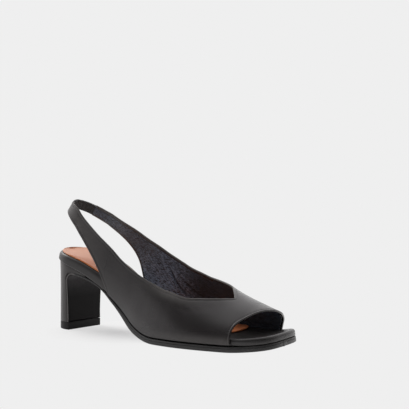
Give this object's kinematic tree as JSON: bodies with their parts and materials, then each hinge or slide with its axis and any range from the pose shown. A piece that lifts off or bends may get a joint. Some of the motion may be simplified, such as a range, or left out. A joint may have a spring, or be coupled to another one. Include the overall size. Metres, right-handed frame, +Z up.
{
  "type": "slingback pump",
  "caption": "Black leather open-toe slingback pump with a V-cut vamp, an elastic heel strap, a squared toe and a half-round block heel.",
  "frame": {"origin": "middle of the bounding box, on the floor that the heel and the tread stand on", "axes": "+X from the heel to the toe, +Y to the inner side of the right foot, +Z up"},
  "size_m": [0.224, 0.0794, 0.1114],
  "materials": {
    "footbed": "smooth black leather wrapped round the padded footbed, semi-matte",
    "sock": "smooth tan leather, matte",
    "outsole": "thin black sole, semi-matte",
    "heel": "black leather cover over a moulded block, semi-matte",
    "heel_tip": "black top piece, matte",
    "upper": "smooth black leather with a fine-grained black lining, semi-matte",
    "elastic": "black woven elastic, matte"
  },
  "bodies": {
    "root": {"footbed": "footbed", "sock": "sock", "outsole": "outsole", "heel": "heel", "heel_tip": "heel_tip", "upper": "upper", "elastic": "elastic"}
  },
  "joints": []
}
